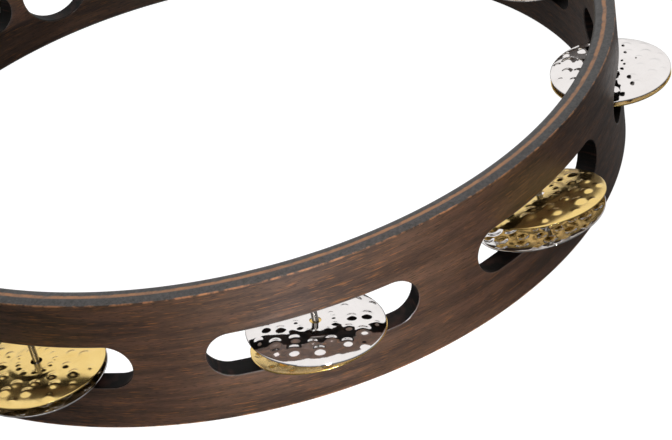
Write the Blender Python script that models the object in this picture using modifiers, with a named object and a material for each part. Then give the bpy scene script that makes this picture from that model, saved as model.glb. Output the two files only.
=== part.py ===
"""Headless wooden hoop tambourine with a single row of hammered jingles.

The hoop's axis is +Z and the hoop lies flat on z = 0, so its lower edge is the resting face. The
grip hole is at +Y, and the ten jingle slots run round the hoop from one side of it to the other.
Every length is in metres.
"""

from math import cos, pi, radians, sin

import bmesh
import bpy
from mathutils import Matrix, Vector

# Hoop
OUTER_RADIUS = 0.1270
WALL = 0.0064
HEIGHT = 0.0420
VENEER = 0.0006
GLUE_GAP = 0.0003
VENEER_SETBACK = 0.0002
HOOP_STEPS = 72
EDGE_RADIUS = 0.0005
RIM_DROP = 0.0004

# Jingle slots
SLOT_COUNT = 10
SLOT_PITCH = radians(35.0)
SLOTS_MIDDLE = radians(270.0)
SLOT_LENGTH = 0.0572
SLOT_HEIGHT = 0.0135
SLOT_SIDES = 12

# Grip hole, centred between the first slot and the last
GRIP_RADIUS = 0.0130
GRIP_SIDES = 20

# Pins
PIN_RADIUS = 0.0009
PIN_TOP = 0.0360
HEAD_RADIUS = 0.0015
HEAD_HEIGHT = 0.0008
HEAD_SETBACK = 0.0003
PIN_SIDES = 8

# Jingles
JINGLE_RADIUS = 0.0183
HOLE_RADIUS = 0.0016
SHEET = 0.0005
HUB_RADIUS = 0.0070
BOSS_RADIUS = 0.0076
BOSS_RISE = 0.0003
DISH_RISE = 0.0011
DISH_RINGS = 2
DISH_CURVE = 1.1
JINGLE_STEPS = 16

# The fifth pin stands a little past the middle of its slot
PIN_DRIFTS = {5: 0.0008}

# Rest of each pair on its pin, the lower jingle first. Each has the height of its hub's outer face,
# its lean with the outer side up, and its lean along the slot. A leaning jingle binds on its pin.
RESTS = [
    ((0.01485, 0.0, 0.0), (0.0193, 2.0, -1.0)),
    ((0.01535, 6.0, 1.0), (0.0206, 4.0, -3.0)),
    ((0.01500, 0.0, 1.0), (0.0192, -1.0, 2.0)),
    ((0.01500, 0.0, -1.0), (0.0199, 3.0, 1.0)),
    ((0.01560, 10.5, 0.5), (0.0229, 2.5, -7.0)),
    ((0.01555, 10.5, 0.0), (0.0246, 10.0, -5.5)),
    ((0.01495, 0.5, -0.5), (0.0200, -1.0, 1.0)),
    ((0.01485, 0.0, 0.0), (0.0195, 2.0, 2.0)),
    ((0.01545, 7.0, -1.0), (0.0207, 5.0, 3.0)),
    ((0.01500, 0.0, 1.0), (0.0198, 1.0, -2.0)),
]

# Clearance between pieces that touch on the real object
GAP = 0.0003
CUT_PAST = 0.0050
WELD = 0.00001

MID_HEIGHT = HEIGHT / 2
PIN_CIRCLE = OUTER_RADIUS - WALL / 2


def clear_scene():
    """Remove every object and mesh that the new scene starts with."""
    for obj in list(bpy.data.objects):
        bpy.data.objects.remove(obj, do_unlink=True)


def new_collection(name):
    """Return a new collection under the scene's own."""
    collection = bpy.data.collections.new(name)
    bpy.context.scene.collection.children.link(collection)
    return collection


def new_material(name, color, roughness, metallic):
    """Return a Principled material of one plain finish."""
    material = bpy.data.materials.new(name)
    material.use_nodes = True
    shader = material.node_tree.nodes["Principled BSDF"]
    shader.inputs["Base Color"].default_value = (*color, 1.0)
    shader.inputs["Roughness"].default_value = roughness
    shader.inputs["Metallic"].default_value = metallic
    return material


def new_object(name, mesh, collection, material=None):
    """Link a mesh to a collection as a named object."""
    obj = bpy.data.objects.new(name, mesh)
    collection.objects.link(obj)
    if material is not None:
        mesh.materials.append(material)
    return obj


def turned(name, outline, steps, collection, material=None, closed=True):
    """Turn an outline of (radius, height) points about +Z.

    The outline runs down its outer side. A closed one makes a ring, and an open one starts and
    ends on the axis.
    """
    mesh = bpy.data.meshes.new(name)
    count = len(outline)
    edges = [(i, (i + 1) % count) for i in range(count if closed else count - 1)]
    mesh.from_pydata([(r, 0.0, z) for r, z in outline], edges, [])
    obj = new_object(name, mesh, collection, material)
    screw = obj.modifiers.new("Turn", "SCREW")
    screw.axis = "Z"
    screw.angle = 2 * pi
    screw.steps = steps
    screw.render_steps = steps
    screw.use_merge_vertices = True
    screw.merge_threshold = WELD
    screw.use_smooth_shade = True
    return obj


def slot_angle(index):
    """Return the angle of a slot's centre about +Z, anticlockwise from +X."""
    return SLOTS_MIDDLE + (index - (SLOT_COUNT - 1) / 2) * SLOT_PITCH


def pin_angle(number):
    """Return the angle of a pin about +Z, pins being numbered from one."""
    return slot_angle(number - 1) + PIN_DRIFTS.get(number, 0.0) / PIN_CIRCLE


def obround_cutter(name, angle, collection):
    """Return a radial prism whose section is a slot with round ends."""
    end_radius = SLOT_HEIGHT / 2
    straight = SLOT_LENGTH / 2 - end_radius
    mesh = bpy.data.meshes.new(name)
    bm = bmesh.new()
    bmesh.ops.create_cone(
        bm,
        cap_ends=True,
        segments=SLOT_SIDES,
        radius1=end_radius / cos(pi / SLOT_SIDES),
        radius2=end_radius / cos(pi / SLOT_SIDES),
        depth=WALL + 2 * CUT_PAST,
        matrix=Matrix.Rotation(pi / SLOT_SIDES, 4, "Z"),
    )
    for vert in bm.verts:
        vert.co.x += straight if vert.co.x > 0 else -straight
    bmesh.ops.rotate(bm, verts=bm.verts, matrix=Matrix.Rotation(-pi / 2, 3, "X"))
    bm.to_mesh(mesh)
    bm.free()
    obj = new_object(name, mesh, collection)
    obj.location = (PIN_CIRCLE * cos(angle), PIN_CIRCLE * sin(angle), MID_HEIGHT)
    obj.rotation_euler = (0.0, 0.0, angle - pi / 2)
    return obj


def grip_cutter(name, collection):
    """Return a cylinder along +Y for the round grip hole."""
    mesh = bpy.data.meshes.new(name)
    bm = bmesh.new()
    bmesh.ops.create_cone(
        bm,
        cap_ends=True,
        segments=GRIP_SIDES,
        radius1=GRIP_RADIUS,
        radius2=GRIP_RADIUS,
        depth=WALL + 2 * CUT_PAST,
        matrix=Matrix.Rotation(-pi / 2, 4, "X"),
    )
    bm.to_mesh(mesh)
    bm.free()
    obj = new_object(name, mesh, collection)
    obj.location = (0.0, PIN_CIRCLE, MID_HEIGHT)
    return obj


def pin_outline(grow, bottom, top):
    """Return the open outline of a headed pin, or of its bore when grown by a gap."""
    head_top = HEAD_SETBACK + HEAD_HEIGHT + grow
    return [
        (0.0, top),
        (PIN_RADIUS + grow, top),
        (PIN_RADIUS + grow, head_top),
        (HEAD_RADIUS + grow, head_top),
        (HEAD_RADIUS + grow, bottom),
        (0.0, bottom),
    ]


def bore_cutter(name, angle, collection):
    """Return the counterbored blind hole that one pin is driven into from below."""
    outline = pin_outline(GAP, -CUT_PAST, PIN_TOP + GAP)
    obj = turned(name, outline, PIN_SIDES, collection, closed=False)
    obj.location = (PIN_CIRCLE * cos(angle), PIN_CIRCLE * sin(angle), 0.0)
    return obj


def as_cutter(obj):
    """Show a cutter as wire only."""
    obj.hide_render = True
    obj.display_type = "WIRE"


def cut_by(obj, cutters):
    """Subtract a collection of cutters from an object."""
    cut = obj.modifiers.new("Cut", "BOOLEAN")
    cut.operation = "DIFFERENCE"
    cut.solver = "EXACT"
    cut.operand_type = "COLLECTION"
    cut.collection = cutters


def veneer_outline(inner, outer):
    """Return the section of a veneer, set back from both edges of the core."""
    bottom = VENEER_SETBACK
    top = HEIGHT - VENEER_SETBACK
    return [(outer, top), (outer, bottom), (inner, bottom), (inner, top)]


def core_outline(inner, outer):
    """Return the core's section, with a rim that is eased inside and falls slightly outwards."""
    return [
        (outer, HEIGHT - RIM_DROP),
        (outer, 0.0),
        (inner, 0.0),
        (inner, HEIGHT - EDGE_RADIUS),
        (inner + EDGE_RADIUS, HEIGHT),
        (PIN_CIRCLE, HEIGHT),
    ]


def dish_height(radius):
    """Return how far the dish has risen at a radius, from its hub's face."""
    if radius <= HUB_RADIUS:
        return 0.0
    if radius <= BOSS_RADIUS:
        return BOSS_RISE * (radius - HUB_RADIUS) / (BOSS_RADIUS - HUB_RADIUS)
    out = (radius - BOSS_RADIUS) / (JINGLE_RADIUS - BOSS_RADIUS)
    return BOSS_RISE + (DISH_RISE - BOSS_RISE) * out**DISH_CURVE


def jingle_outline(dome_up):
    """Return a jingle's closed section, about its pin, with the hub's outer face at z = 0."""
    radii = [HOLE_RADIUS, HUB_RADIUS, BOSS_RADIUS]
    step = (JINGLE_RADIUS - BOSS_RADIUS) / DISH_RINGS
    radii += [BOSS_RADIUS + step * (i + 1) for i in range(DISH_RINGS)]
    hub_face = [(r, dish_height(r)) for r in radii]
    hollow_face = [(r, dish_height(r) + SHEET) for r in reversed(radii)]
    if dome_up:
        return [(r, -z) for r, z in hub_face + hollow_face]
    return list(reversed(hub_face + hollow_face))


def rest_on_pin(obj, angle, rest):
    """Put a jingle on its pin at its own height and lean."""
    height, lean_out, lean_along = rest
    radial = Vector((cos(angle), sin(angle), 0.0))
    tangent = Vector((-sin(angle), cos(angle), 0.0))
    place = Matrix.Translation(radial * PIN_CIRCLE + Vector((0.0, 0.0, height)))
    lean = Matrix.Rotation(-radians(lean_out), 4, tangent)
    obj.matrix_basis = place @ lean @ Matrix.Rotation(radians(lean_along), 4, radial)


def build():
    """Build the hoop, its pins and its jingles."""
    clear_scene()
    parts = new_collection("tambourine")
    slots = new_collection("slot_cutters")
    bores = new_collection("bore_cutters")

    stained = new_material("walnut_stained_veneer", (0.075, 0.042, 0.028), 0.38, 0.0)
    plies = new_material("sanded_core_plies", (0.33, 0.17, 0.08), 0.55, 0.0)
    steel = new_material("pin_steel", (0.60, 0.59, 0.57), 0.25, 1.0)
    brass = new_material("hammered_brass", (0.83, 0.60, 0.22), 0.16, 1.0)
    nickel = new_material("nickel_plated_steel", (0.72, 0.71, 0.69), 0.10, 1.0)

    for number in range(1, SLOT_COUNT + 1):
        as_cutter(obround_cutter(f"slot_cutter_{number:02d}", slot_angle(number - 1), slots))
        as_cutter(bore_cutter(f"bore_cutter_{number:02d}", pin_angle(number), bores))
    as_cutter(grip_cutter("grip_cutter", slots))

    inner_radius = OUTER_RADIUS - WALL
    core_inner = inner_radius + VENEER + GLUE_GAP
    core_outer = OUTER_RADIUS - VENEER - GLUE_GAP
    layers = [
        ("outer_veneer", veneer_outline(OUTER_RADIUS - VENEER, OUTER_RADIUS), stained),
        ("core_plies", core_outline(core_inner, core_outer), plies),
        ("inner_veneer", veneer_outline(inner_radius, inner_radius + VENEER), stained),
    ]
    for name, outline, material in layers:
        layer = turned(name, outline, HOOP_STEPS, parts, material)
        cut_by(layer, slots)
        if name == "core_plies":
            cut_by(layer, bores)

    for number, (low_rest, top_rest) in enumerate(RESTS, start=1):
        angle = pin_angle(number)
        outline = pin_outline(0.0, HEAD_SETBACK, PIN_TOP)
        pin = turned(f"pin_{number:02d}", outline, PIN_SIDES, parts, steel, closed=False)
        pin.location = (PIN_CIRCLE * cos(angle), PIN_CIRCLE * sin(angle), 0.0)
        top_metal, low_metal = (nickel, brass) if number % 2 else (brass, nickel)
        upper = turned(
            f"upper_jingle_{number:02d}", jingle_outline(True), JINGLE_STEPS, parts, top_metal
        )
        rest_on_pin(upper, angle, top_rest)
        lower = turned(
            f"lower_jingle_{number:02d}", jingle_outline(False), JINGLE_STEPS, parts, low_metal
        )
        rest_on_pin(lower, angle, low_rest)


build()
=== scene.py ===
"""Looks of a headless wooden hoop tambourine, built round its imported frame.

A bent ply hoop with ten jingle slots and a grip hole carries ten steel pins, and a pair of hammered
discs rides on each pin. Lengths are in metres, +Z is the hoop's axis, and the hoop rests on z = 0.
"""

import logging
import random
from collections.abc import Iterator
from contextlib import contextmanager
from dataclasses import dataclass, field
from enum import Enum
from math import cos, pi, radians, sin, sqrt

import bmesh
import bpy
from mathutils import Matrix, Quaternion, Vector

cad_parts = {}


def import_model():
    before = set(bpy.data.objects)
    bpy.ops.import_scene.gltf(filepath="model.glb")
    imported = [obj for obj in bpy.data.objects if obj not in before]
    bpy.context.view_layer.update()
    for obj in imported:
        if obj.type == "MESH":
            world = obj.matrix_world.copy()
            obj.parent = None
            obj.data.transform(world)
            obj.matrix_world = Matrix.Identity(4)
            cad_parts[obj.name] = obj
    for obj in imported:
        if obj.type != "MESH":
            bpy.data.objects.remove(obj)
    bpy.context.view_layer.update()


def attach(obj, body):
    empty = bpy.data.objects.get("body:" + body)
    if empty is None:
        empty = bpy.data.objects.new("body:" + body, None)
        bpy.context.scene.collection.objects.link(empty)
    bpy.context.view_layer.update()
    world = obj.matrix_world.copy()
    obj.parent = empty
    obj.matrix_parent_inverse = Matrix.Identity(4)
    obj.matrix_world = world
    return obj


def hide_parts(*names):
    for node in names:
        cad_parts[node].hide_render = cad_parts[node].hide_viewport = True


LOG = logging.getLogger("tambourine")
MM = 0.001

# Points of a turned solid that are nearer than this are one point
WELD = 0.002 * MM

# Sockets of a colour Mix node by their place, because its names repeat for each data type
MIX_SHARE = 0
MIX_FIRST = 6
MIX_SECOND = 7
MIX_COLOR = 2

Color = tuple[float, float, float, float]
Outline = list[tuple[float, float]]


class Body(str, Enum):
    """Rigid bodies of the frame, by the start of their names."""

    HOOP = "hoop"
    UPPER = "upper_jingle"
    LOWER = "lower_jingle"


class Slot(str, Enum):
    """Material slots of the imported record."""

    VENEER = "stained_veneer"
    PLIES = "core_plies"
    PIN = "pin_steel"
    BRASS = "brass_jingle"
    NICKEL = "nickel_jingle"


# ---------------------------------------------------------------- small tools


def linear(code: str) -> Color:
    """Turn an sRGB hex colour into linear light.

    Args:
        code: six hex digits after a hash sign.

    Returns:
        Red, green, blue and an alpha of one.
    """
    channels = [int(code[i : i + 2], 16) / 255 for i in (1, 3, 5)]
    light = [c / 12.92 if c <= 0.04045 else ((c + 0.055) / 1.055) ** 2.4 for c in channels]
    return (light[0], light[1], light[2], 1.0)


def add_node(
    tree: bpy.types.NodeTree,
    kind: str,
    inputs: dict[str | int, object] | None = None,
    **settings: object,
) -> bpy.types.Node:
    """Add a node with its settings, values and links.

    Args:
        tree: the node tree that gets the node.
        kind: the node's type name.
        inputs: input name or index to a value, or to the output socket that feeds it.
        **settings: the node's own properties.

    Returns:
        The new node.
    """
    node = tree.nodes.new(kind)
    for key, value in settings.items():
        setattr(node, key, value)
    for key, value in (inputs or {}).items():
        if isinstance(value, bpy.types.NodeSocket):
            tree.links.new(value, node.inputs[key])
        else:
            node.inputs[key].default_value = value
    return node


def blank_material(name: str) -> bpy.types.Material:
    """Make a material with no nodes yet.

    Args:
        name: the real material and how its surface was made.

    Returns:
        The material.
    """
    material = bpy.data.materials.new(name)
    material.use_nodes = True
    material.node_tree.nodes.clear()
    return material


def along_grain(
    tree: bpy.types.NodeTree, place: bpy.types.NodeSocket, size_mm: tuple[float, float]
) -> bpy.types.NodeSocket:
    """Stretch a pattern round the hoop.

    Args:
        tree: the material's nodes.
        place: the object coordinates.
        size_mm: the pattern's length along the grain and its width across.

    Returns:
        Coordinates whose unit is one length long and one width wide.
    """
    along = 1000 / size_mm[0]
    across = 1000 / size_mm[1]
    scaled = add_node(
        tree,
        "ShaderNodeVectorMath",
        {0: place, 1: (along, along, across)},
        operation="MULTIPLY",
    )
    return scaled.outputs["Vector"]


def deselect_all() -> None:
    """Leave nothing selected and nothing active."""
    for obj in bpy.context.selected_objects:
        obj.select_set(False)
    bpy.context.view_layer.objects.active = None


def select_only(obj: bpy.types.Object) -> None:
    """Select one object and make it active.

    Args:
        obj: the object to select.
    """
    deselect_all()
    obj.select_set(True)
    bpy.context.view_layer.objects.active = obj


@contextmanager
def editing(obj: bpy.types.Object, mode: str = "VERT") -> Iterator[bmesh.types.BMesh]:
    """Work on an object in edit mode.

    Args:
        obj: the mesh object.
        mode: the select mode, VERT, EDGE or FACE.

    Yields:
        The mesh as it is edited.
    """
    select_only(obj)
    bpy.ops.object.mode_set(mode="EDIT")
    bpy.ops.mesh.select_mode(type=mode)
    bm = bmesh.from_edit_mesh(obj.data)
    try:
        yield bm
        bmesh.update_edit_mesh(obj.data)
    finally:
        bpy.ops.object.mode_set(mode="OBJECT")


def turned(name: str, outline: Outline, steps: int, closed: bool = True) -> bpy.types.Object:
    """Spin an outline of (radius, height) points once about the world's +Z.

    Args:
        name: the new object's name.
        outline: points in order. A closed outline makes a ring. An open one starts and ends on
            the axis.
        steps: how many facets go round.
        closed: whether the last point joins the first.

    Returns:
        The turned solid, its faces pointing outwards.
    """
    deselect_all()
    bpy.ops.mesh.primitive_circle_add(vertices=len(outline), radius=MM)
    obj = bpy.context.active_object
    obj.name = name
    obj.data.name = name
    for vert, (radius, height) in zip(obj.data.vertices, outline):
        vert.co = (radius, 0.0, height)
    with editing(obj) as bm:
        if not closed:
            bm.edges.ensure_lookup_table()
            last = {0, len(outline) - 1}
            gap = [e for e in bm.edges if {v.index for v in e.verts} == last]
            bmesh.ops.delete(bm, geom=gap, context="EDGES_FACES")
            bmesh.update_edit_mesh(obj.data)
        bpy.ops.mesh.select_all(action="SELECT")
        bpy.ops.mesh.spin(steps=steps, angle=2 * pi, center=(0, 0, 0), axis=(0, 0, 1))
        bpy.ops.mesh.select_all(action="SELECT")
        bpy.ops.mesh.remove_doubles(threshold=WELD)
        bpy.ops.mesh.normals_make_consistent(inside=False)
    return obj


def apply_modifier(obj: bpy.types.Object, modifier: bpy.types.Modifier) -> None:
    """Bake one modifier into the mesh."""
    select_only(obj)
    bpy.ops.object.modifier_apply(modifier=modifier.name)


def smooth(obj: bpy.types.Object, angle: float) -> None:
    """Shade an object smooth, with edges over an angle in degrees left sharp."""
    select_only(obj)
    bpy.ops.object.shade_smooth_by_angle(angle=radians(angle))


def dress(obj: bpy.types.Object, material: bpy.types.Material) -> None:
    """Give an object one material."""
    obj.data.materials.clear()
    obj.data.materials.append(material)


def settle(obj: bpy.types.Object, body: str, node: str) -> None:
    """Let a finished piece ride on its body and stand for its frame node.

    Args:
        obj: the piece, at the origin, with its place in its mesh.
        body: the body that carries it.
        node: the frame node that it replaces.
    """
    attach(obj, body)
    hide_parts(node)
    LOG.info("%s: %d faces, rides on %s", obj.name, len(obj.data.polygons), body)


# ---------------------------------------------------------------- sizes


@dataclass(frozen=True)
class Layout:
    """Driving sizes of the instrument, the same as the frame's."""

    outer_radius: float = 127.0 * MM
    wall: float = 6.4 * MM
    height: float = 42.0 * MM
    veneer: float = 0.6 * MM
    slot_count: int = 10
    slot_pitch: float = radians(35.0)
    slots_middle: float = radians(270.0)
    slot_length: float = 57.2 * MM
    slot_height: float = 13.5 * MM
    grip_angle: float = radians(90.0)
    grip_radius: float = 13.0 * MM
    drifted_pin: int = 5
    pin_drift: float = 0.8 * MM

    @property
    def inner_radius(self) -> float:
        """Radius of the hoop's inner face."""
        return self.outer_radius - self.wall

    @property
    def pin_circle(self) -> float:
        """Radius of the circle that the pins stand on."""
        return self.outer_radius - self.wall / 2

    @property
    def middle(self) -> float:
        """Height of the slots' centres."""
        return self.height / 2

    def slot_angle(self, number: int) -> float:
        """Return the angle of a slot's centre, slots being numbered from one."""
        return self.slots_middle + (number - 1 - (self.slot_count - 1) / 2) * self.slot_pitch

    def pin_angle(self, number: int) -> float:
        """Return the angle of a pin. One of them stands a little past its slot's middle."""
        drift = self.pin_drift if number == self.drifted_pin else 0.0
        return self.slot_angle(number) + drift / self.pin_circle

    def pin_place(self, number: int) -> Vector:
        """Return the point where a pin's axis meets z = 0."""
        angle = self.pin_angle(number)
        return Vector((self.pin_circle * cos(angle), self.pin_circle * sin(angle), 0.0))


# ---------------------------------------------------------------- finishes


@dataclass(frozen=True)
class GrainLayer:
    """One layer of the grain: its colour, length and width, noise, and the noise it covers."""

    color: str
    size_mm: tuple[float, float]
    noise: dict[str, float]
    cover: dict[str, float]


@dataclass(frozen=True)
class HoopNodes:
    """The wood's node tree, the sockets that place its finish, and the hoop's sizes.

    The radius is measured from the hoop's axis, and off_middle up or down from the wall's middle.
    """

    tree: bpy.types.NodeTree
    place: bpy.types.NodeSocket
    radius: bpy.types.NodeSocket
    off_middle: bpy.types.NodeSocket
    layout: Layout


@dataclass(frozen=True)
class StainedHoopWood:
    """Bent ply with walnut-stained veneer under satin lacquer and dark painted edges.

    Stain sinks into the pores and leaves fine dark dashes and lighter orange streaks along the
    grain, which runs round the hoop. The pores are drawn wider than real ones, so that they show.
    Both edges are painted dark grey. The crest of each edge is sanded through to bare wood, and
    the outer corner is rubbed in spots.
    """

    name: str = "walnut_stained_ply_satin_lacquer"
    stain_dark: str = "#2A1C14"
    paint: str = "#3C3937"
    bare: str = "#A8744A"
    figure: GrainLayer = GrainLayer(
        "#573F31",
        (34.0, 3.0),
        {"Scale": 1.0, "Detail": 5.0, "Roughness": 0.62, "Distortion": 0.4},
        {"From Min": 0.30, "From Max": 0.72},
    )
    streaks: GrainLayer = GrainLayer(
        "#97622F",
        (5.5, 0.30),
        {"Scale": 1.0, "Detail": 2.0, "Roughness": 0.55},
        {"From Min": 0.55, "From Max": 0.76, "To Max": 0.6},
    )
    pores: GrainLayer = GrainLayer(
        "#0E0805",
        (3.5, 0.28),
        {"Scale": 1.7, "Detail": 1.0},
        {"From Min": 0.44, "From Max": 0.30, "To Max": 0.8},
    )
    mottle_mm: float = 0.76923
    wander_mm: float = 3.84615
    rub_mm: float = 2.38095
    crest_width_mm: float = 1.2
    crest_wander_mm: float = 0.8
    crest_offset_mm: float = 0.40
    roughness: float = 0.42

    def build(self, layout: Layout) -> bpy.types.Material:
        """Make the material.

        Args:
            layout: sizes that place the painted edges and the rubbed crest.

        Returns:
            The material.
        """
        material = blank_material(self.name)
        tree = material.node_tree
        place = add_node(tree, "ShaderNodeTexCoord").outputs["Object"]
        axes = add_node(tree, "ShaderNodeSeparateXYZ", {"Vector": place})
        flat = add_node(
            tree, "ShaderNodeVectorMath", {0: place, 1: (1.0, 1.0, 0.0)}, operation="MULTIPLY"
        )
        radius = add_node(
            tree, "ShaderNodeVectorMath", {0: flat.outputs["Vector"]}, operation="LENGTH"
        ).outputs["Value"]
        from_middle = add_node(
            tree,
            "ShaderNodeMath",
            {0: axes.outputs["Z"], 1: layout.middle},
            operation="SUBTRACT",
        )
        off_middle = add_node(
            tree, "ShaderNodeMath", {0: from_middle.outputs["Value"]}, operation="ABSOLUTE"
        ).outputs["Value"]
        hoop = HoopNodes(tree, place, radius, off_middle, layout)

        covers = [
            (self._grain_share(hoop, layer), linear(layer.color))
            for layer in (self.figure, self.streaks, self.pores)
        ]
        covers.append((self._painted_edge(hoop), self._paint(hoop)))
        covers.append((self._bare(hoop), linear(self.bare)))
        color: Color | bpy.types.NodeSocket = linear(self.stain_dark)
        for share, cover in covers:
            color = add_node(
                tree,
                "ShaderNodeMix",
                {MIX_SHARE: share, MIX_FIRST: color, MIX_SECOND: cover},
                data_type="RGBA",
            ).outputs[MIX_COLOR]
        fibre = add_node(
            tree,
            "ShaderNodeTexNoise",
            {
                "Vector": along_grain(tree, place, self.pores.size_mm),
                "Scale": 1.0,
                "Detail": 3.0,
            },
        )
        bump = add_node(
            tree,
            "ShaderNodeBump",
            {"Strength": 0.6, "Distance": 0.1 * MM, "Height": fibre.outputs["Fac"]},
        )
        rough = add_node(
            tree,
            "ShaderNodeMapRange",
            {
                "Value": fibre.outputs["Fac"],
                "From Min": 0.3,
                "From Max": 0.7,
                "To Min": self.roughness - 0.08,
                "To Max": self.roughness + 0.08,
            },
        )
        shader = add_node(
            tree,
            "ShaderNodeBsdfPrincipled",
            {
                "Base Color": color,
                "Roughness": rough.outputs["Result"],
                "Normal": bump.outputs["Normal"],
                "IOR": 1.48,
                "Specular IOR Level": 0.5,
            },
        )
        add_node(tree, "ShaderNodeOutputMaterial", {"Surface": shader.outputs["BSDF"]})
        return material

    def _grain_share(self, hoop: HoopNodes, layer: GrainLayer) -> bpy.types.NodeSocket:
        """Find how far one layer of the grain covers the colour under it.

        Args:
            hoop: the wood's nodes.
            layer: the figure, the streaks or the pores.

        Returns:
            The share.
        """
        noise = add_node(
            hoop.tree,
            "ShaderNodeTexNoise",
            {"Vector": along_grain(hoop.tree, hoop.place, layer.size_mm), **layer.noise},
        )
        return add_node(
            hoop.tree,
            "ShaderNodeMapRange",
            {"Value": noise.outputs["Fac"], **layer.cover},
            interpolation_type="SMOOTHSTEP",
        ).outputs["Result"]

    def _painted_edge(self, hoop: HoopNodes) -> bpy.types.NodeSocket:
        """Find the share of edge paint: one inside the wall's thickness, none on its faces.

        Args:
            hoop: the wood's nodes.

        Returns:
            The share.
        """
        inner = hoop.layout.inner_radius
        outer = hoop.layout.outer_radius
        skins = (
            (inner + 0.02 * MM, inner + 0.20 * MM),
            (outer - 0.03 * MM, outer - 0.12 * MM),
        )
        inside, outside = (
            add_node(
                hoop.tree,
                "ShaderNodeMapRange",
                {"Value": hoop.radius, "From Min": none, "From Max": full},
                interpolation_type="SMOOTHSTEP",
            ).outputs["Result"]
            for none, full in skins
        )
        both = add_node(hoop.tree, "ShaderNodeMath", {0: inside, 1: outside}, operation="MULTIPLY")
        return both.outputs["Value"]

    def _paint(self, hoop: HoopNodes) -> bpy.types.NodeSocket:
        """Mix the grey paint of the edges, brushed thinly enough to mottle.

        Args:
            hoop: the wood's nodes.

        Returns:
            The paint's colour.
        """
        mottle = add_node(
            hoop.tree,
            "ShaderNodeTexNoise",
            {
                "Vector": hoop.place,
                "Scale": 1000 / self.mottle_mm,
                "Detail": 3.0,
                "Roughness": 0.6,
            },
        )
        shade = add_node(
            hoop.tree,
            "ShaderNodeMapRange",
            {
                "Value": mottle.outputs["Fac"],
                "From Min": 0.3,
                "From Max": 0.7,
                "To Min": 0.45,
                "To Max": 1.55,
            },
        )
        return add_node(
            hoop.tree,
            "ShaderNodeVectorMath",
            {0: linear(self.paint)[:3], "Scale": shade.outputs["Result"]},
            operation="SCALE",
        ).outputs["Vector"]

    def _crest(self, hoop: HoopNodes) -> bpy.types.NodeSocket:
        """Find the share of bare wood on the sanded crest of each edge, which wavers and fades.

        Args:
            hoop: the wood's nodes.

        Returns:
            The share.
        """
        tree = hoop.tree
        wander = add_node(
            tree,
            "ShaderNodeTexNoise",
            {
                "Vector": hoop.place,
                "Scale": 1000 / self.wander_mm,
                "Detail": 4.0,
                "Roughness": 0.7,
            },
        ).outputs["Fac"]
        shifted = add_node(
            tree,
            "ShaderNodeMath",
            {0: wander, 1: self.crest_wander_mm * MM, 2: hoop.radius},
            operation="MULTIPLY_ADD",
        )
        crest_radius = hoop.layout.pin_circle + self.crest_offset_mm * MM
        off_crest = add_node(
            tree,
            "ShaderNodeMath",
            {0: shifted.outputs["Value"], 1: crest_radius},
            operation="SUBTRACT",
        )
        away = add_node(
            tree, "ShaderNodeMath", {0: off_crest.outputs["Value"]}, operation="ABSOLUTE"
        )
        half = self.crest_width_mm / 2 * MM
        crest = add_node(
            tree,
            "ShaderNodeMapRange",
            {
                "Value": away.outputs["Value"],
                "From Min": half + 0.2 * MM,
                "From Max": half - 0.3 * MM,
            },
            interpolation_type="SMOOTHSTEP",
        )
        left_on = add_node(
            tree,
            "ShaderNodeMapRange",
            {"Value": wander, "From Min": 0.30, "From Max": 0.55, "To Min": 0.35},
        )
        patchy = add_node(
            tree,
            "ShaderNodeMath",
            {0: crest.outputs["Result"], 1: left_on.outputs["Result"]},
            operation="MULTIPLY",
        )
        on_top = add_node(
            tree,
            "ShaderNodeMapRange",
            {
                "Value": hoop.off_middle,
                "From Min": hoop.layout.middle - 1.0 * MM,
                "From Max": hoop.layout.middle - 0.6 * MM,
            },
        )
        return add_node(
            tree,
            "ShaderNodeMath",
            {0: patchy.outputs["Value"], 1: on_top.outputs["Result"]},
            operation="MULTIPLY",
        ).outputs["Value"]

    def _rubbed_corner(self, hoop: HoopNodes) -> bpy.types.NodeSocket:
        """Find the share of bare wood in the spots along the outer corner.

        Args:
            hoop: the wood's nodes.

        Returns:
            The share.
        """
        tree = hoop.tree
        worn = add_node(
            tree,
            "ShaderNodeTexNoise",
            {"Vector": hoop.place, "Scale": 1000 / self.rub_mm, "Detail": 2.0, "Roughness": 0.6},
        )
        spots = add_node(
            tree,
            "ShaderNodeMapRange",
            {"Value": worn.outputs["Fac"], "From Min": 0.42, "From Max": 0.60, "To Max": 0.85},
        )
        at_corner = add_node(
            tree,
            "ShaderNodeMapRange",
            {
                "Value": hoop.radius,
                "From Min": hoop.layout.outer_radius - 0.35 * MM,
                "From Max": hoop.layout.outer_radius - 0.10 * MM,
            },
        )
        near_rim = add_node(
            tree,
            "ShaderNodeMapRange",
            {
                "Value": hoop.off_middle,
                "From Min": hoop.layout.middle - 0.95 * MM,
                "From Max": hoop.layout.middle - 0.65 * MM,
            },
        )
        corner = add_node(
            tree,
            "ShaderNodeMath",
            {0: at_corner.outputs["Result"], 1: near_rim.outputs["Result"]},
            operation="MULTIPLY",
        )
        return add_node(
            tree,
            "ShaderNodeMath",
            {0: corner.outputs["Value"], 1: spots.outputs["Result"]},
            operation="MULTIPLY",
        ).outputs["Value"]

    def _bare(self, hoop: HoopNodes) -> bpy.types.NodeSocket:
        """Find the share of bare wood, on the crest line or in the corner's spots.

        Args:
            hoop: the wood's nodes.

        Returns:
            The share.
        """
        shares = {0: self._crest(hoop), 1: self._rubbed_corner(hoop)}
        return add_node(hoop.tree, "ShaderNodeMath", shares, operation="MAXIMUM").outputs["Value"]


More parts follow.
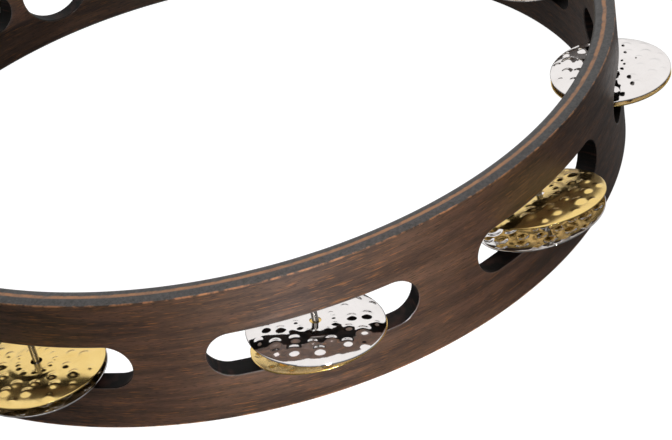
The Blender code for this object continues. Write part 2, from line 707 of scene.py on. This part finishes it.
@dataclass(frozen=True)
class SlotPaintAndShade:
    """Matt black-brown paint brushed on the routed end grain, which shows as dull dark streaks,
    with painted shade: its near-black base stands for the shade inside the openings.
    """

    name: str = "matt_black_paint_and_painted_shade"
    # dark: near-black, darker than real paint, as painted shade inside the openings
    dark: str = "#0D0A09"
    thin: str = "#33201A"
    streak_mm: tuple[float, float] = (6.0, 0.8)
    roughness: float = 0.6

    def build(self) -> bpy.types.Material:
        """Make the material.

        Returns:
            A dull dark paint darkened with painted shade, thinner in streaks along the ply.
        """
        material = blank_material(self.name)
        tree = material.node_tree
        place = add_node(tree, "ShaderNodeTexCoord").outputs["Object"]
        brushed = add_node(
            tree,
            "ShaderNodeTexNoise",
            {"Vector": along_grain(tree, place, self.streak_mm), "Scale": 1.0, "Detail": 3.0},
        )
        share = add_node(
            tree,
            "ShaderNodeMapRange",
            {"Value": brushed.outputs["Fac"], "From Min": 0.50, "From Max": 0.72},
        )
        color = add_node(
            tree,
            "ShaderNodeMix",
            {
                MIX_SHARE: share.outputs["Result"],
                MIX_FIRST: linear(self.dark),
                MIX_SECOND: linear(self.thin),
            },
            data_type="RGBA",
        )
        bump = add_node(
            tree,
            "ShaderNodeBump",
            {"Strength": 0.3, "Distance": 0.1 * MM, "Height": brushed.outputs["Fac"]},
        )
        shader = add_node(
            tree,
            "ShaderNodeBsdfPrincipled",
            {
                "Base Color": color.outputs[MIX_COLOR],
                "Roughness": self.roughness,
                "Normal": bump.outputs["Normal"],
                "Specular IOR Level": 0.12,
            },
        )
        add_node(tree, "ShaderNodeOutputMaterial", {"Surface": shader.outputs["BSDF"]})
        return material


@dataclass(frozen=True)
class HammeredMetal:
    """Thin polished sheet, beaten over a stake, so that its shine breaks up at each blow."""

    name: str
    color: str
    tarnish: str
    roughness: float
    ripple_mm: float = 1.1
    ripple_depth_mm: float = 0.012
    haze_mm: float = 6.0

    def build(self) -> bpy.types.Material:
        """Make the material.

        Returns:
            A metal with faint haze and fine planishing ripples.
        """
        material = blank_material(self.name)
        tree = material.node_tree
        place = add_node(tree, "ShaderNodeTexCoord").outputs["Object"]
        haze = add_node(
            tree,
            "ShaderNodeTexNoise",
            {"Vector": place, "Scale": 1000 / self.haze_mm, "Detail": 4.0, "Roughness": 0.6},
        )
        color = add_node(
            tree,
            "ShaderNodeMix",
            {
                MIX_SHARE: haze.outputs["Fac"],
                MIX_FIRST: linear(self.color),
                MIX_SECOND: linear(self.tarnish),
            },
            data_type="RGBA",
        )
        rough = add_node(
            tree,
            "ShaderNodeMapRange",
            {
                "Value": haze.outputs["Fac"],
                "From Min": 0.3,
                "From Max": 0.7,
                "To Min": self.roughness * 0.7,
                "To Max": self.roughness * 1.3,
            },
        )
        ripple = add_node(
            tree,
            "ShaderNodeTexNoise",
            {"Vector": place, "Scale": 1000 / self.ripple_mm, "Detail": 1.0},
        )
        bump = add_node(
            tree,
            "ShaderNodeBump",
            {
                "Strength": 1.0,
                "Distance": self.ripple_depth_mm * MM,
                "Height": ripple.outputs["Fac"],
            },
        )
        shader = add_node(
            tree,
            "ShaderNodeBsdfPrincipled",
            {
                "Base Color": color.outputs[MIX_COLOR],
                "Metallic": 1.0,
                "Roughness": rough.outputs["Result"],
                "Normal": bump.outputs["Normal"],
            },
        )
        add_node(tree, "ShaderNodeOutputMaterial", {"Surface": shader.outputs["BSDF"]})
        return material


BRASS = HammeredMetal("hammered_polished_brass", "#F5D891", "#E8C272", 0.20)
NICKEL = HammeredMetal("hammered_nickel_plated_steel", "#F4F0EE", "#E6E0DD", 0.05)
PIN_STEEL = HammeredMetal("bright_drawn_steel_wire", "#C9C5C0", "#A9A39C", 0.20)


# ---------------------------------------------------------------- hoop


@dataclass
class Hoop:
    """Three bent layers with one crowned section, routed slots, a grip hole and pin bores."""

    layout: Layout
    steps: int = 360
    crown_drop: float = 0.4 * MM
    inner_crown_share: float = 0.2
    inner_ease: float = 1.5 * MM
    corner_ease: float = 0.15 * MM
    slot_vertices: int = 72
    grip_vertices: int = 96
    slot_ease: float = 0.40 * MM
    # An opening's eased edge, by its share of the ease's depth and of its growth
    flare: tuple[tuple[float, float], ...] = ((0.0, 0.0), (0.35, 0.08), (0.65, 0.35), (1.0, 1.0))
    weld: float = 0.01 * MM
    bore_radius: float = 0.92 * MM
    bore_top: float = 36.0 * MM
    head_bore_radius: float = 1.55 * MM
    head_bore_depth: float = 1.2 * MM
    bore_vertices: int = 24
    cut_past: float = 1.5 * MM
    strip_width: float = 2.0 * MM
    rings_across: int = 16
    rows_down: int = 8
    inner_ease_shares: tuple[float, ...] = (0.12, 0.3, 0.5, 0.7, 0.85, 1.0)
    corner_ease_shares: tuple[float, ...] = (0.0, 0.05, 0.2, 0.5, 1.0)
    paint_setback: float = 0.12 * MM
    rim_margin: float = 3.0 * MM
    face_turn: float = 0.7
    crease_degrees: float = 18.0

    def rim_height(self, radius: float) -> float:
        """Return the height of the upper edge at a radius.

        The edge is crowned about the middle of the wall, rounded over on the inside, and has a
        crisp corner outside.

        Args:
            radius: distance from the hoop's axis.

        Returns:
            The height above the hoop's foot.
        """
        lay = self.layout
        half = lay.wall / 2
        crown = self.crown_drop * ((radius - lay.pin_circle) / half) ** 2
        if radius < lay.pin_circle:
            crown *= self.inner_crown_share
        top = lay.height - crown
        inside = radius - lay.inner_radius
        if inside < self.inner_ease:
            top -= self.inner_ease - sqrt(max(0.0, inside * (2 * self.inner_ease - inside)))
        outside = lay.outer_radius - radius
        if outside < self.corner_ease:
            ease = self.corner_ease
            top -= ease - sqrt(max(0.0, outside * (2 * ease - outside)))
        return top

    def section(self, inner: float, outer: float) -> Outline:
        """Return a layer's outline, down its outer side, with both edges eased alike.

        Args:
            inner: the layer's inner radius.
            outer: the layer's outer radius.

        Returns:
            Points of radius and height, in order.
        """
        lay = self.layout
        rings = self.rings_across
        rows = self.rows_down
        radii = {inner, outer}
        radii |= {lay.inner_radius + self.inner_ease * e * e for e in self.inner_ease_shares}
        radii |= {lay.outer_radius - self.corner_ease * e for e in self.corner_ease_shares}
        radii |= {lay.inner_radius + lay.wall * i / rings for i in range(rings // 4, rings)}
        across = sorted(r for r in radii if inner <= r <= outer)
        top = [(r, self.rim_height(r)) for r in across]
        bottom = [(r, lay.height - z) for r, z in reversed(top)]
        shares = [i / rows for i in range(1, rows)]
        outer_side = [(outer, top[-1][1] * (1 - f) + bottom[0][1] * f) for f in shares]
        inner_side = [(inner, bottom[-1][1] * (1 - f) + top[0][1] * f) for f in shares]
        return top + outer_side + bottom + inner_side

    def routed_cutter(
        self, half_straight: float, radius: float, vertices: int, angle: float
    ) -> bpy.types.Object:
        """Make the waste of one routed opening, straight-sided and flared at both curved faces.

        Args:
            half_straight: half the straight length between the opening's round ends.
            radius: radius of the round ends.
            vertices: points round the outline.
            angle: the opening's place round the hoop.

        Returns:
            The cutter object.
        """
        lay = self.layout
        ease = self.slot_ease
        half = lay.wall / 2
        levels = [(-half - self.cut_past, ease)]
        levels += [(-half + ease * (1 - d), ease * g) for d, g in reversed(self.flare)]
        levels += [(half - ease * (1 - d), ease * g) for d, g in self.flare]
        levels += [(half + self.cut_past, ease)]
        deselect_all()
        bpy.ops.mesh.primitive_circle_add(vertices=vertices, radius=radius, fill_type="NGON")
        cutter = bpy.context.active_object
        cutter.data.transform(Matrix.Rotation(pi / vertices, 4, "Z"))
        with editing(cutter) as bm:
            for side in (1, -1):
                bpy.ops.mesh.select_all(action="DESELECT")
                for vert in bm.verts:
                    vert.select = vert.co.x * side > 0
                bm.select_flush_mode()
                bmesh.update_edit_mesh(cutter.data)
                bpy.ops.transform.translate(value=(side * half_straight, 0, 0))
            reach = half_straight + radius
            strips = round(2 * reach / self.strip_width)
            for i in range(1, strips):
                bpy.ops.mesh.select_all(action="SELECT")
                across = -reach + 2 * reach * i / strips
                bpy.ops.mesh.bisect(plane_co=(across, 0, 0), plane_no=(1, 0, 0))
            bpy.ops.mesh.select_all(action="SELECT")
            bpy.ops.mesh.remove_doubles(threshold=self.weld)
            bpy.ops.transform.translate(value=(0, 0, levels[0][0]))
            for (low, _), (high, _) in zip(levels, levels[1:]):
                bpy.ops.mesh.extrude_region_move(
                    TRANSFORM_OT_translate={"value": (0, 0, high - low)}
                )
        radial = Vector((cos(angle), sin(angle)))
        tangent = Vector((-sin(angle), cos(angle)))
        for vert in cutter.data.vertices:
            x, y, depth = vert.co
            grow = min(levels, key=lambda level: abs(level[0] - depth))[1]
            spine = max(-half_straight, min(half_straight, x))
            out = Vector((x - spine, y))
            out *= 1 + grow / out.length
            across = spine + out.x
            away = sqrt((lay.pin_circle + depth) ** 2 - across**2)
            flat = radial * away + tangent * across
            vert.co = (flat.x, flat.y, lay.middle + out.y)
        with editing(cutter):
            bpy.ops.mesh.select_all(action="SELECT")
            bpy.ops.mesh.normals_make_consistent(inside=False)
        return cutter

    def bore_cutter(self, number: int) -> bpy.types.Object:
        """Make the waste of one counterbored blind pin hole.

        Args:
            number: the pin's number.

        Returns:
            The cutter object.
        """
        outline = [
            (0.0, self.bore_top),
            (self.bore_radius, self.bore_top),
            (self.bore_radius, self.head_bore_depth),
            (self.head_bore_radius, self.head_bore_depth),
            (self.head_bore_radius, -self.cut_past),
            (0.0, -self.cut_past),
        ]
        cutter = turned(f"bore_waste_{number}", outline, self.bore_vertices, closed=False)
        cutter.data.transform(Matrix.Translation(self.layout.pin_place(number)))
        return cutter

    def joined(self, cutters: list[bpy.types.Object]) -> bpy.types.Object:
        """Join cutters into one object.

        Args:
            cutters: the objects to join.

        Returns:
            The first of them, with all of their meshes.
        """
        select_only(cutters[0])
        for cutter in cutters:
            cutter.select_set(True)
        bpy.ops.object.join()
        return bpy.context.active_object

    def paint_and_shade_openings(self, layer: bpy.types.Object, paint: bpy.types.Material) -> None:
        """Give the walls of every opening their dark paint, which also carries painted shade.

        Args:
            layer: one of the hoop's layers.
            paint: the finish of the walls, dark paint with painted shade.
        """
        lay = self.layout
        layer.data.materials.append(paint)
        for face in layer.data.polygons:
            away = face.center.xy.length
            skin = min(away - lay.inner_radius, lay.outer_radius - away)
            to_edge = min(face.center.z, lay.height - face.center.z)
            outwards = abs(face.normal.xy.dot(face.center.xy)) / away
            within = skin > self.paint_setback and to_edge > self.rim_margin
            if within and outwards < self.face_turn:
                face.material_index = 1

    def build(self) -> None:
        """Build, cut and dress the three layers."""
        lay = self.layout
        straight = lay.slot_length / 2 - lay.slot_height / 2
        numbers = range(1, lay.slot_count + 1)
        openings = [
            self.routed_cutter(
                straight, lay.slot_height / 2, self.slot_vertices, lay.slot_angle(number)
            )
            for number in numbers
        ]
        openings.append(
            self.routed_cutter(0.0, lay.grip_radius, self.grip_vertices, lay.grip_angle)
        )
        waste = self.joined(openings)
        bores = self.joined([self.bore_cutter(number) for number in numbers])
        wood = StainedHoopWood().build(lay)
        # the openings' walls get dark paint that also carries painted shade
        paint = SlotPaintAndShade().build()
        core_inner = lay.inner_radius + lay.veneer
        core_outer = lay.outer_radius - lay.veneer
        layers = [
            ("hoop_outer_veneer", core_outer, lay.outer_radius, "outer_veneer", Slot.VENEER),
            ("hoop_core_plies", core_inner, core_outer, "core_plies", Slot.PLIES),
            ("hoop_inner_veneer", lay.inner_radius, core_inner, "inner_veneer", Slot.VENEER),
        ]
        for name, inner, outer, node, slot in layers:
            layer = turned(name, self.section(inner, outer), self.steps)
            tools = [waste, bores] if slot is Slot.PLIES else [waste]
            for tool in tools:
                cut = layer.modifiers.new("cut", "BOOLEAN")
                cut.operation = "DIFFERENCE"
                cut.solver = "EXACT"
                cut.object = tool
                apply_modifier(layer, cut)
            smooth(layer, self.crease_degrees)
            dress(layer, wood)
            self.paint_and_shade_openings(layer, paint)
            settle(layer, Body.HOOP.value, node)
        for tool in (waste, bores):
            bpy.data.objects.remove(tool)


# ---------------------------------------------------------------- pins


@dataclass
class Pin:
    """Headed steel pin, driven from the lower edge through the slot into the upper rail."""

    layout: Layout
    number: int
    radius: float = 0.9 * MM
    top: float = 35.9 * MM
    point: float = 1.2 * MM
    point_share: float = 0.45
    head_radius: float = 1.5 * MM
    head_height: float = 0.8 * MM
    head_dome: float = 0.1 * MM
    setback: float = 0.25 * MM
    ease: float = 0.15 * MM
    steps: int = 32
    crease_degrees: float = 30.0

    def build(self, metal: bpy.types.Material) -> None:
        """Turn the pin, put it in its place and dress it.

        Args:
            metal: the pin's finish.
        """
        head_top = self.setback + self.head_height
        outline = [
            (0.0, self.top),
            (self.radius * self.point_share, self.top),
            (self.radius, self.top - self.point),
            (self.radius, head_top + self.ease),
            (self.radius + self.ease, head_top),
            (self.head_radius - self.ease, head_top),
            (self.head_radius, head_top - self.ease),
            (self.head_radius, self.setback + self.ease),
            (self.head_radius - self.ease, self.setback),
            (0.0, self.setback - self.head_dome),
        ]
        pin = turned(f"jingle_pin_{self.number:02d}", outline, self.steps, closed=False)
        pin.data.transform(Matrix.Translation(self.layout.pin_place(self.number)))
        smooth(pin, self.crease_degrees)
        dress(pin, metal)
        settle(pin, Body.HOOP.value, f"pin_{self.number:02d}")


# ---------------------------------------------------------------- jingles


@dataclass(frozen=True)
class BlowRing:
    """One ring of hammer blows, struck from inside so that each stands proud outside."""

    radius: float
    count: int
    size: float
    rise: float
    phase: float = 0.0


@dataclass
class HammeredDisc:
    """Master disc, stamped and hammered once and copied for every jingle."""

    radius: float = 18.3 * MM
    hole_radius: float = 1.6 * MM
    sheet: float = 0.45 * MM
    lip_share: float = 0.25
    hub_radius: float = 6.4 * MM
    boss_radius: float = 8.4 * MM
    boss_rise: float = 0.22 * MM
    dish_rise: float = 1.35 * MM
    dish_curve: float = 2.8
    ring_step: float = 0.36 * MM
    steps: int = 180
    seed: int = 7
    turn_wander: float = 0.16
    radius_wander: float = 0.4 * MM
    size_shares: tuple[float, float] = (0.85, 1.12)
    rise_shares: tuple[float, float] = (0.75, 1.1)
    blow_curve: float = 1.5
    hole_margin: float = 0.3 * MM
    crease_degrees: float = 60.0
    rings: tuple[BlowRing, ...] = (
        BlowRing(5.1 * MM, 12, 1.10 * MM, 0.27 * MM),
        BlowRing(9.4 * MM, 11, 1.70 * MM, 0.42 * MM, 0.5),
        BlowRing(13.2 * MM, 12, 2.15 * MM, 0.54 * MM),
        BlowRing(16.2 * MM, 12, 1.35 * MM, 0.30 * MM, 0.5),
    )

    def dish(self, radius: float) -> float:
        """Return how far the dish has fallen from its hub's outer face.

        Args:
            radius: distance from the disc's axis.

        Returns:
            The fall.
        """
        if radius <= self.hub_radius:
            return 0.0
        if radius <= self.boss_radius:
            share = (radius - self.hub_radius) / (self.boss_radius - self.hub_radius)
            return self.boss_rise * share * share * (3 - 2 * share)
        out = (radius - self.boss_radius) / (self.radius - self.boss_radius)
        return self.boss_rise + (self.dish_rise - self.boss_rise) * out**self.dish_curve

    def outline(self) -> Outline:
        """Return the disc's section, dome up, with the hub's outer face at z = 0.

        Returns:
            Points of radius and height, in order.
        """
        count = round((self.radius - self.hole_radius) / self.ring_step)
        step = (self.radius - self.hole_radius) / count
        radii = [self.hole_radius + step * i for i in range(count + 1)]
        lip = self.sheet * self.lip_share
        radii[-1] -= lip
        outer_face = [(r, -self.dish(r)) for r in radii]
        inner_face = [(r, -self.dish(r) - self.sheet) for r in reversed(radii)]
        edge = -self.dish(self.radius) - self.sheet / 2
        rim = [(self.radius, edge + lip), (self.radius, edge - lip)]
        return outer_face + rim + inner_face

    def blows(self) -> list[tuple[Vector, float, float]]:
        """Place the hammer blows, a little unevenly.

        Returns:
            The centre, size and rise of each blow.
        """
        rng = random.Random(self.seed)
        struck = []
        for ring in self.rings:
            for i in range(ring.count):
                turn = i + ring.phase + rng.uniform(-self.turn_wander, self.turn_wander)
                angle = 2 * pi * turn / ring.count
                radius = ring.radius + rng.uniform(-self.radius_wander, self.radius_wander)
                size = ring.size * rng.uniform(*self.size_shares)
                rise = ring.rise * rng.uniform(*self.rise_shares)
                struck.append((Vector((radius * cos(angle), radius * sin(angle))), size, rise))
        return struck

    def build(self) -> bpy.types.Object:
        """Turn the blank and hammer both of its faces.

        Returns:
            The master disc, dome up, on the axis.
        """
        disc = turned("hammered_disc", self.outline(), self.steps)
        struck = self.blows()
        for vert in disc.data.vertices:
            place = vert.co.xy
            if place.length < self.hole_radius + self.hole_margin:
                continue
            proud = [
                rise * (1 - ((place - centre).length / size) ** 2) ** self.blow_curve
                for centre, size, rise in struck
                if (place - centre).length < size
            ]
            vert.co.z += max(proud, default=0.0)
        smooth(disc, self.crease_degrees)
        return disc


@dataclass(frozen=True)
class Rest:
    """How a jingle rests on its pin: height of its hub's outer face and its lean in degrees."""

    height_mm: float
    out: float = 0.0
    along: float = 0.0


# Each pair's lower jingle and then its upper one, as they lie on the frame's pins
PAIR_RESTS = (
    (Rest(14.85), Rest(19.3, 2, -1)),
    (Rest(15.35, 6, 1), Rest(20.6, 4, -3)),
    (Rest(15.0, 0, 1), Rest(19.2, -1, 2)),
    (Rest(15.0, 0, -1), Rest(19.9, 3, 1)),
    (Rest(15.6, 10.5, 0.5), Rest(22.9, 2.5, -7)),
    (Rest(15.55, 10.5, 0), Rest(24.6, 10, -5.5)),
    (Rest(14.95, 0.5, -0.5), Rest(20.0, -1, 1)),
    (Rest(14.85), Rest(19.5, 2, 2)),
    (Rest(15.45, 7, -1), Rest(20.7, 5, 3)),
    (Rest(15.0, 0, 1), Rest(19.8, 1, -2)),
)


@dataclass
class Jingle:
    """One hammered disc on its pin."""

    layout: Layout
    number: int
    body: Body
    slot: Slot
    rest: Rest

    @property
    def node(self) -> str:
        """Name of the frame node and of the body that carries it."""
        return f"{self.body.value}_{self.number:02d}"

    def build(self, master: bpy.types.Object, metal: bpy.types.Material) -> None:
        """Copy the master disc, turn it to its own phase, lean it and put it on its pin.

        Args:
            master: the hammered disc, dome up, on the axis.
            metal: the disc's finish.
        """
        disc = bpy.data.objects.new(f"hammered_{self.node}", master.data.copy())
        disc.data.name = disc.name
        bpy.context.scene.collection.objects.link(disc)
        up = self.body is Body.UPPER
        phase = Matrix.Rotation(random.Random(self.node).uniform(0, 2 * pi), 4, "Z")
        flip = Matrix.Identity(4) if up else Matrix.Rotation(pi, 4, "X")
        angle = self.layout.pin_angle(self.number)
        radial = Vector((cos(angle), sin(angle), 0.0))
        tangent = Vector((-sin(angle), cos(angle), 0.0))
        lean_out = Matrix.Rotation(-radians(self.rest.out), 4, tangent)
        lean_along = Matrix.Rotation(radians(self.rest.along), 4, radial)
        hub = self.layout.pin_place(self.number)
        hub.z = self.rest.height_mm * MM
        disc.data.transform(Matrix.Translation(hub) @ lean_out @ lean_along @ flip @ phase)
        dress(disc, metal)
        settle(disc, self.node, self.node)


# ---------------------------------------------------------------- studio


@dataclass(frozen=True)
class SoftBox:
    """A lamp behind a diffuser: place and size in metres, power in watts, spread in degrees."""

    name: str
    place: tuple[float, float, float]
    size: tuple[float, float]
    power: float
    spread: float


SOFT_BOXES = (
    SoftBox("front_box", (-0.60, -0.75, 0.50), (0.6, 0.4), 1.3, 180.0),
    SoftBox("front_spot", (-0.24, -0.86, 0.12), (0.07, 0.07), 0.05, 10.0),
)


@dataclass
class Studio:
    """Pale floor, soft lights and camera."""

    layout: Layout
    camera_distance: float = 542.7 * MM
    camera_azimuth: float = radians(-112.72)
    camera_elevation: float = radians(27.99)
    aim: Vector = field(default_factory=lambda: Vector((-7.0, -82.3, 21.0)) * MM)
    roll: float = radians(-11.72)
    lens_mm: float = 93.4
    sensor_mm: float = 36.0
    clip_start: float = 10.0 * MM
    floor_half: float = 6.0
    floor_glow: float = 1.0
    bright_side: Vector = field(default_factory=lambda: Vector((0.40, 0.45, 0.80)))
    front_strength: float = 0.12
    back_strength: float = 1.0
    light_aim: float = -0.035

    def build(self) -> None:
        """Build the whole set."""
        self.build_floor()
        self.build_world()
        self.build_lights()
        self.build_camera()
        bpy.context.scene.view_settings.view_transform = "Standard"

    def build_floor(self) -> None:
        """Lay a large backlit floor, which throws none of its glow up at the hoop."""
        deselect_all()
        bpy.ops.mesh.primitive_plane_add(size=2 * self.floor_half)
        floor = bpy.context.active_object
        floor.name = "studio_floor"
        floor.visible_glossy = False
        floor.visible_diffuse = False
        material = bpy.data.materials.new("backlit_white_acrylic")
        material.use_nodes = True
        shader = material.node_tree.nodes["Principled BSDF"]
        shader.inputs["Base Color"].default_value = (0.2, 0.2, 0.2, 1.0)
        shader.inputs["Roughness"].default_value = 0.9
        shader.inputs["Specular IOR Level"].default_value = 0.1
        shader.inputs["Emission Color"].default_value = (1.0, 1.0, 1.0, 1.0)
        shader.inputs["Emission Strength"].default_value = self.floor_glow
        dress(floor, material)

    def build_world(self) -> None:
        """Surround the set with white light that is strong above and behind and weak in front."""
        world = bpy.data.worlds.new("white_studio")
        bpy.context.scene.world = world
        world.use_nodes = True
        tree = world.node_tree
        background = tree.nodes["Background"]
        toward = add_node(
            tree,
            "ShaderNodeVectorMath",
            {
                0: add_node(tree, "ShaderNodeTexCoord").outputs["Generated"],
                1: self.bright_side.normalized(),
            },
            operation="DOT_PRODUCT",
        )
        strength = add_node(
            tree,
            "ShaderNodeMapRange",
            {
                "Value": toward.outputs["Value"],
                "From Min": -0.1,
                "From Max": 0.95,
                "To Min": self.front_strength,
                "To Max": self.back_strength,
            },
            interpolation_type="SMOOTHSTEP",
        )
        background.inputs["Color"].default_value = (1.0, 1.0, 1.0, 1.0)
        tree.links.new(strength.outputs["Result"], background.inputs["Strength"])

    def build_lights(self) -> None:
        """Aim a soft box from the left and a narrow spot from the front at the near wall."""
        target = Vector((self.light_aim, -self.layout.outer_radius, self.layout.middle))
        for box in SOFT_BOXES:
            data = bpy.data.lights.new(box.name, "AREA")
            data.shape = "RECTANGLE"
            data.size, data.size_y = box.size
            data.energy = box.power
            data.spread = radians(box.spread)
            light = bpy.data.objects.new(box.name, data)
            bpy.context.scene.collection.objects.link(light)
            light.location = box.place
            toward = target - light.location
            light.rotation_euler = toward.to_track_quat("-Z", "Y").to_euler()

    def build_camera(self) -> None:
        """Set the camera at its distance and aim it."""
        lay = self.layout
        flat = self.camera_distance * cos(self.camera_elevation)
        place = Vector(
            (
                flat * cos(self.camera_azimuth),
                flat * sin(self.camera_azimuth),
                lay.height + self.camera_distance * sin(self.camera_elevation),
            )
        )
        data = bpy.data.cameras.new("camera")
        data.lens = self.lens_mm
        data.sensor_width = self.sensor_mm
        data.sensor_fit = "HORIZONTAL"
        data.clip_start = self.clip_start
        camera = bpy.data.objects.new("camera", data)
        bpy.context.scene.collection.objects.link(camera)
        aim = (self.aim - place).to_track_quat("-Z", "Y")
        roll = Quaternion((0, 0, 1), self.roll)
        camera.rotation_mode = "QUATERNION"
        camera.rotation_quaternion = aim @ roll
        camera.location = place
        bpy.context.scene.camera = camera


# ---------------------------------------------------------------- the whole


@dataclass
class Tambourine:
    """The hoop with its pins and jingle pairs."""

    layout: Layout = field(default_factory=Layout)
    disc: HammeredDisc = field(default_factory=HammeredDisc)

    def build(self) -> None:
        """Build every piece of the instrument."""
        Hoop(self.layout).build()
        steel = PIN_STEEL.build()
        metals = {Slot.BRASS: BRASS.build(), Slot.NICKEL: NICKEL.build()}
        master = self.disc.build()
        for number, (low_rest, top_rest) in enumerate(PAIR_RESTS, start=1):
            Pin(self.layout, number).build(steel)
            top, low = (Slot.NICKEL, Slot.BRASS) if number % 2 else (Slot.BRASS, Slot.NICKEL)
            for body, slot, rest in ((Body.UPPER, top, top_rest), (Body.LOWER, low, low_rest)):
                Jingle(self.layout, number, body, slot, rest).build(master, metals[slot])
        bpy.data.objects.remove(master)


def main() -> None:
    """Load the frame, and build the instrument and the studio."""
    logging.basicConfig(level=logging.INFO, format="%(message)s")
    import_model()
    tambourine = Tambourine()
    tambourine.build()
    Studio(tambourine.layout).build()


if __name__ == "__main__":
    main()
